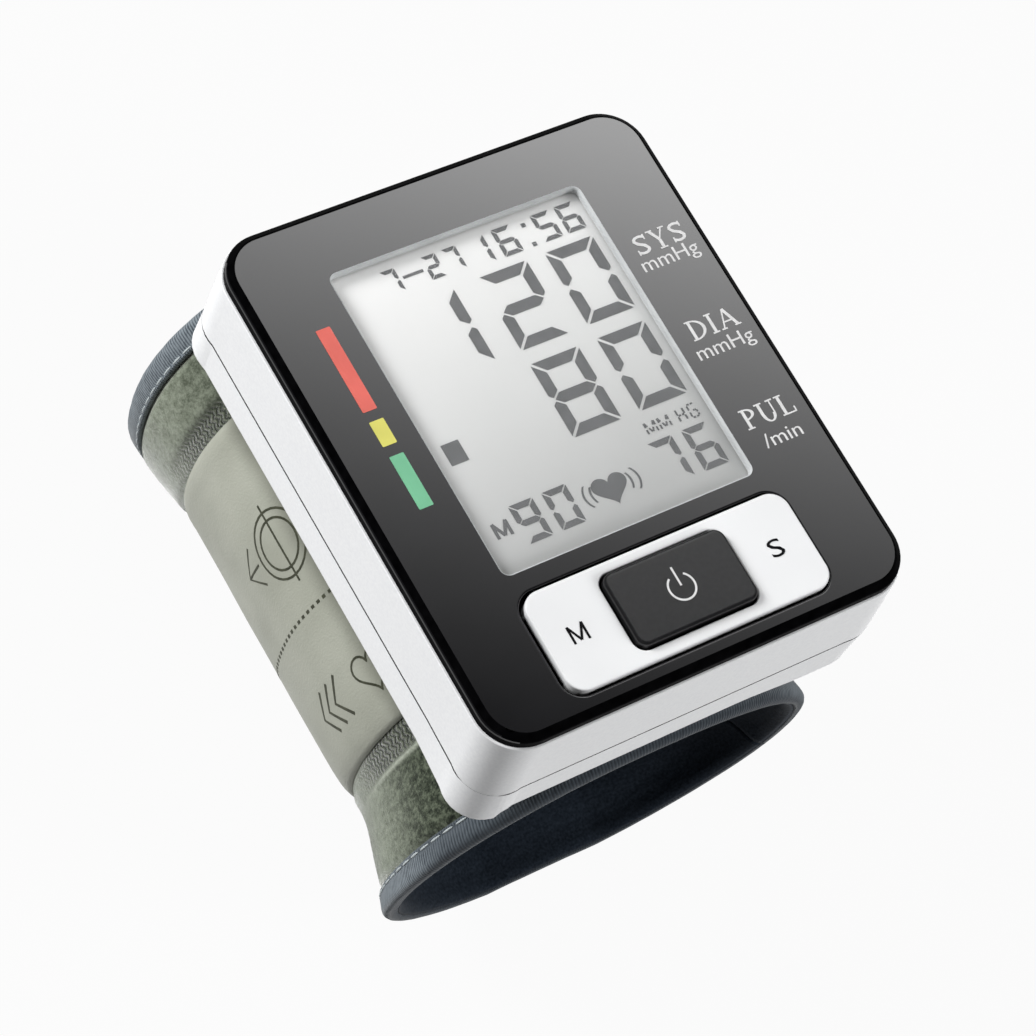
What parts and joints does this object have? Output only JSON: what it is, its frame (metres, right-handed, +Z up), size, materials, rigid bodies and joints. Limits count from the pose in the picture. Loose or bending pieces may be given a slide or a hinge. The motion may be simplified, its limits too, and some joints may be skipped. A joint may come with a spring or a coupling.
{
  "type": "wrist blood pressure monitor",
  "caption": "Small blood pressure monitor worn on the wrist: a rounded casing with a display and keys on a padded cuff that closes round the wrist.",
  "frame": {"origin": "on the surface that the cuff stands on, under the middle of the part's footprint", "axes": "+Z up out of the face, +X to the right of its reading, +Y towards the top edge of its display, along the wrist"},
  "size_m": [0.062, 0.0782, 0.0732],
  "materials": {
    "black_gloss": "polished black",
    "clear_window": "clear",
    "lcd_glass": "grey display",
    "white_plastic": "satin white",
    "dark_plastic": "matt",
    "dark_rubber": "matt",
    "switch_body": "stamped",
    "board": "solder mask",
    "steel": "plated",
    "silicone": "soft",
    "cell": "plain wrapper",
    "loop_fabric": "short loop pile",
    "lining_fabric": "smooth nylon",
    "binding_tape": "woven tape",
    "label_fabric": "printed cloth",
    "hook_fabric": "hook tape"
  },
  "bodies": {
    "monitor": {"face_plate": "black_gloss", "display_window": "clear_window", "lcd_panel": "lcd_glass", "lcd_holder": "dark_plastic", "zebra_strip_top": "dark_rubber", "zebra_strip_bottom": "dark_rubber", "upper_casing": "white_plastic", "lower_casing": "white_plastic", "key_carrier": "dark_plastic", "switch_memory": "switch_body", "switch_power": "switch_body", "switch_set": "switch_body", "main_board": "board", "board_screw_1": "steel", "board_screw_2": "steel", "pressure_sensor": "dark_plastic", "pump_motor": "steel", "pump_head": "dark_plastic", "release_valve": "dark_plastic", "air_manifold": "white_plastic", "air_hose_pump": "silicone", "air_hose_valve": "silicone", "air_hose_sensor": "silicone", "battery_1": "cell", "battery_2": "cell", "battery_spring_1": "steel", "battery_spring_2": "steel", "bridge_contact": "steel", "negative_contact": "steel", "positive_contact": "steel", "casing_screw_1": "steel", "casing_screw_2": "steel", "casing_screw_3": "steel", "casing_screw_4": "steel", "cuff_saddle": "white_plastic", "saddle_screw_1": "steel", "saddle_screw_2": "steel", "cuff_outer": "loop_fabric", "cuff_stiffener": "dark_plastic", "air_bladder": "dark_rubber", "cuff_lining": "lining_fabric", "near_binding": "binding_tape", "far_binding": "binding_tape", "instruction_label": "label_fabric"},
    "power_key": {"power_button": "black_gloss"},
    "mode_key": {"mode_rocker": "white_plastic"},
    "cell_door": {"battery_door": "white_plastic"},
    "cuff_tab": {"closure_tab": "loop_fabric", "hook_patch": "hook_fabric"},
    "pump_crank": {"pump_eccentric": "steel"},
    "valve_core": {"valve_plunger": "steel"}
  },
  "joints": [
    {"name": "power_press", "type": "slide", "parent": "monitor", "child": "power_key", "axis": [0, 0, -1], "range_m": [0, 0.0005], "stiffness_N_per_m": 600},
    {"name": "mode_rock", "type": "hinge", "parent": "monitor", "child": "mode_key", "pos_m": [0, -0.0284, 0.0689], "axis": [0, 1, 0], "range_deg": [-1.5, 1.5], "stiffness_Nm_per_rad": 0.3},
    {"name": "door_slide", "type": "slide", "parent": "monitor", "child": "cell_door", "axis": [0, 0, -1], "range_m": [0, 0.011]},
    {"name": "tab_peel", "type": "hinge", "parent": "monitor", "child": "cuff_tab", "pos_m": [0.02105, 0.0009, 0.00614], "axis": [0, 1, 0], "range_deg": [0, 70]},
    {"name": "pump_spin", "type": "hinge", "parent": "monitor", "child": "pump_crank", "pos_m": [-0.0205, -0.0124, 0.0591], "axis": [0, 1, 0], "continuous": true},
    {"name": "valve_travel", "type": "slide", "parent": "monitor", "child": "valve_core", "axis": [0, -1, 0], "range_m": [0, 0.0005], "stiffness_N_per_m": 200}
  ]
}
